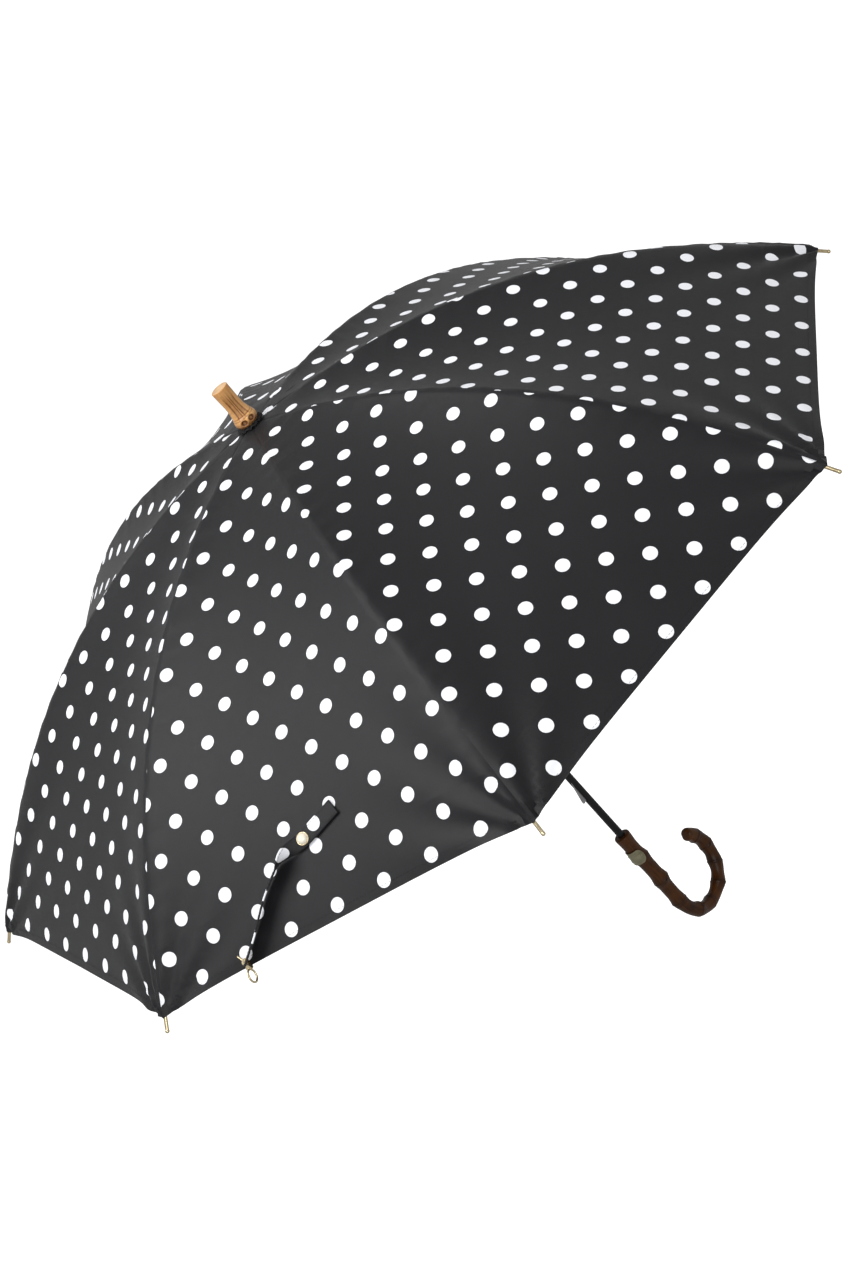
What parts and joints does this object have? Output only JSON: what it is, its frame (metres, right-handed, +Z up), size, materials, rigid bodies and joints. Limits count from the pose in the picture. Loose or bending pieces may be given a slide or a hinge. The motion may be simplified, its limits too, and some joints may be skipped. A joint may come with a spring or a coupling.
{
  "type": "umbrella",
  "caption": "Folding parasol with curved steel ribs, a black dotted fabric dome, a sliding runner, a bamboo ferrule and a bamboo crook handle.",
  "frame": {"origin": "On the shaft's axis, level with the lowest point of the crook", "axes": "+Z runs up the shaft towards the ferrule, +X points the way the crook bends, rib 1 lies over +X and the ribs count anticlockwise seen from above"},
  "size_m": [0.9006, 0.9006, 0.6807],
  "materials": {
    "fabric_black": "black polyester pongee with white dots",
    "steel_black": "black painted steel",
    "nylon_black": "black moulded nylon",
    "steel": "bright wire and pins",
    "spring_steel": "grey spring steel",
    "gold_metal": "pale champagne plating",
    "plate_metal": "brushed champagne plate",
    "bamboo_dark": "dark stained, varnished bamboo",
    "bamboo_honey": "honey coloured, varnished bamboo",
    "pearl": "cream pearl"
  },
  "bodies": {
    "shaft": {"shaft": "steel_black", "handle": "bamboo_dark", "name_plate": "plate_metal", "plate_pins": "plate_metal", "ferrule": "bamboo_honey", "rosette": "fabric_black", "crown": "nylon_black", "crown_wire": "steel", "crown_pin": "steel", "stop_pin": "steel", "spring_pins": "steel"},
    "runner": {"runner": "nylon_black", "runner_wire": "steel"},
    "top_spring": {"top_spring": "spring_steel"},
    "bottom_spring": {"bottom_spring": "spring_steel"},
    "strap_clip": {"strap_clip": "gold_metal"},
    "strap_swivel": {"strap_swivel": "gold_metal"},
    "strap": {"strap": "fabric_black", "strap_button": "pearl", "strap_snap": "steel"},
    "rib_1": {"rib_1": "steel_black", "rib_tip_1": "gold_metal", "canopy_1": "fabric_black"},
    "stretcher_1": {"stretcher_1": "steel_black", "rivet_1": "steel"},
    "rib_2": {"rib_2": "steel_black", "rib_tip_2": "gold_metal", "canopy_2": "fabric_black"},
    "stretcher_2": {"stretcher_2": "steel_black", "rivet_2": "steel"},
    "rib_3": {"rib_3": "steel_black", "rib_tip_3": "gold_metal", "canopy_3": "fabric_black"},
    "stretcher_3": {"stretcher_3": "steel_black", "rivet_3": "steel"},
    "rib_4": {"rib_4": "steel_black", "rib_tip_4": "gold_metal", "canopy_4": "fabric_black"},
    "stretcher_4": {"stretcher_4": "steel_black", "rivet_4": "steel"},
    "rib_5": {"rib_5": "steel_black", "rib_tip_5": "gold_metal", "canopy_5": "fabric_black"},
    "stretcher_5": {"stretcher_5": "steel_black", "rivet_5": "steel"},
    "rib_6": {"rib_6": "steel_black", "rib_tip_6": "gold_metal", "canopy_6": "fabric_black"},
    "stretcher_6": {"stretcher_6": "steel_black", "rivet_6": "steel"},
    "rib_7": {"rib_7": "steel_black", "rib_tip_7": "gold_metal", "canopy_7": "fabric_black"},
    "stretcher_7": {"stretcher_7": "steel_black", "rivet_7": "steel"},
    "rib_8": {"rib_8": "steel_black", "rib_tip_8": "gold_metal", "canopy_8": "fabric_black"},
    "stretcher_8": {"stretcher_8": "steel_black", "rivet_8": "steel"}
  },
  "joints": [
    {"name": "fold", "type": "hinge", "parent": "shaft", "child": "rib_1", "pos_m": [0.009, 0, 0.637], "axis": [0, 1, 0], "range_deg": [0, 64.4], "deforming": ["canopy_1", "canopy_2", "canopy_3", "canopy_4", "canopy_5", "canopy_6", "canopy_7", "canopy_8", "top_spring", "bottom_spring"]},
    {"name": "rib_2_hinge", "type": "hinge", "parent": "shaft", "child": "rib_2", "pos_m": [0.00636, 0.00636, 0.637], "axis": [-0.7071, 0.7071, 0], "range_deg": [0, 64.4]},
    {"name": "rib_3_hinge", "type": "hinge", "parent": "shaft", "child": "rib_3", "pos_m": [0, 0.009, 0.637], "axis": [-1, 0, 0], "range_deg": [0, 64.4]},
    {"name": "rib_4_hinge", "type": "hinge", "parent": "shaft", "child": "rib_4", "pos_m": [-0.00636, 0.00636, 0.637], "axis": [-0.7071, -0.7071, 0], "range_deg": [0, 64.4]},
    {"name": "rib_5_hinge", "type": "hinge", "parent": "shaft", "child": "rib_5", "pos_m": [-0.009, 0, 0.637], "axis": [0, -1, 0], "range_deg": [0, 64.4]},
    {"name": "rib_6_hinge", "type": "hinge", "parent": "shaft", "child": "rib_6", "pos_m": [-0.00636, -0.00636, 0.637], "axis": [0.7071, -0.7071, 0], "range_deg": [0, 64.4]},
    {"name": "rib_7_hinge", "type": "hinge", "parent": "shaft", "child": "rib_7", "pos_m": [0, -0.009, 0.637], "axis": [1, 0, 0], "range_deg": [0, 64.4]},
    {"name": "rib_8_hinge", "type": "hinge", "parent": "shaft", "child": "rib_8", "pos_m": [0.00636, -0.00636, 0.637], "axis": [0.7071, 0.7071, 0], "range_deg": [0, 64.4]},
    {"name": "stretcher_1_hinge", "type": "hinge", "parent": "rib_1", "child": "stretcher_1", "pos_m": [0.22372, 0, 0.59317], "axis": [0, 1, 0], "range_deg": [-128.8, 0]},
    {"name": "stretcher_2_hinge", "type": "hinge", "parent": "rib_2", "child": "stretcher_2", "pos_m": [0.15819, 0.15819, 0.59317], "axis": [-0.7071, 0.7071, 0], "range_deg": [-128.8, 0]},
    {"name": "stretcher_3_hinge", "type": "hinge", "parent": "rib_3", "child": "stretcher_3", "pos_m": [0, 0.22372, 0.59317], "axis": [-1, 0, 0], "range_deg": [-128.8, 0]},
    {"name": "stretcher_4_hinge", "type": "hinge", "parent": "rib_4", "child": "stretcher_4", "pos_m": [-0.15819, 0.15819, 0.59317], "axis": [-0.7071, -0.7071, 0], "range_deg": [-128.8, 0]},
    {"name": "stretcher_5_hinge", "type": "hinge", "parent": "rib_5", "child": "stretcher_5", "pos_m": [-0.22372, 0, 0.59317], "axis": [0, -1, 0], "range_deg": [-128.8, 0]},
    {"name": "stretcher_6_hinge", "type": "hinge", "parent": "rib_6", "child": "stretcher_6", "pos_m": [-0.15819, -0.15819, 0.59317], "axis": [0.7071, -0.7071, 0], "range_deg": [-128.8, 0]},
    {"name": "stretcher_7_hinge", "type": "hinge", "parent": "rib_7", "child": "stretcher_7", "pos_m": [0, -0.22372, 0.59317], "axis": [1, 0, 0], "range_deg": [-128.8, 0]},
    {"name": "stretcher_8_hinge", "type": "hinge", "parent": "rib_8", "child": "stretcher_8", "pos_m": [0.15819, -0.15819, 0.59317], "axis": [0.7071, 0.7071, 0], "range_deg": [-128.8, 0]},
    {"name": "runner_slide", "type": "hinge", "parent": "stretcher_1", "child": "runner", "pos_m": [0.009, 0, 0.54934], "axis": [0, 1, 0], "range_deg": [0, 64.4]},
    {"name": "top_spring_press", "type": "hinge", "parent": "shaft", "child": "top_spring", "pos_m": [-0.001, 0, 0.47934], "axis": [0, 1, 0], "range_deg": [0, 8], "stiffness_Nm_per_rad": 0.02},
    {"name": "bottom_spring_press", "type": "hinge", "parent": "shaft", "child": "bottom_spring", "pos_m": [-0.001, 0, 0.21204], "axis": [0, -1, 0], "range_deg": [0, 8], "stiffness_Nm_per_rad": 0.02},
    {"name": "strap_gather", "type": "slide", "parent": "rib_5", "child": "strap_clip", "axis": [-0.2052, 0.9584, 0.1984], "range_m": [0, 0.07499]},
    {"name": "strap_turn", "type": "hinge", "parent": "strap_clip", "child": "strap_swivel", "pos_m": [-0.40771, -0.07768, 0.44736], "axis": [-0.689, -0.2854, 0.6662], "range_deg": [0, 56.55]},
    {"name": "strap_swing", "type": "hinge", "parent": "strap_swivel", "child": "strap", "pos_m": [-0.40771, -0.07768, 0.44736], "axis": [-0.3026, -0.722, -0.6222], "range_deg": [0, 110]}
  ],
  "couplings": [
    {"joint": "rib_2_hinge", "follows": "fold", "ratio": 1},
    {"joint": "rib_3_hinge", "follows": "fold", "ratio": 1},
    {"joint": "rib_4_hinge", "follows": "fold", "ratio": 1},
    {"joint": "rib_5_hinge", "follows": "fold", "ratio": 1},
    {"joint": "rib_6_hinge", "follows": "fold", "ratio": 1},
    {"joint": "rib_7_hinge", "follows": "fold", "ratio": 1},
    {"joint": "rib_8_hinge", "follows": "fold", "ratio": 1},
    {"joint": "stretcher_1_hinge", "follows": "fold", "ratio": -2},
    {"joint": "stretcher_2_hinge", "follows": "fold", "ratio": -2},
    {"joint": "stretcher_3_hinge", "follows": "fold", "ratio": -2},
    {"joint": "stretcher_4_hinge", "follows": "fold", "ratio": -2},
    {"joint": "stretcher_5_hinge", "follows": "fold", "ratio": -2},
    {"joint": "stretcher_6_hinge", "follows": "fold", "ratio": -2},
    {"joint": "stretcher_7_hinge", "follows": "fold", "ratio": -2},
    {"joint": "stretcher_8_hinge", "follows": "fold", "ratio": -2},
    {"joint": "runner_slide", "follows": "fold", "ratio": 1},
    {"joint": "strap_gather", "follows": "fold", "m_per_rad": 0.066698},
    {"joint": "strap_turn", "follows": "fold", "ratio": 0.87805}
  ]
}
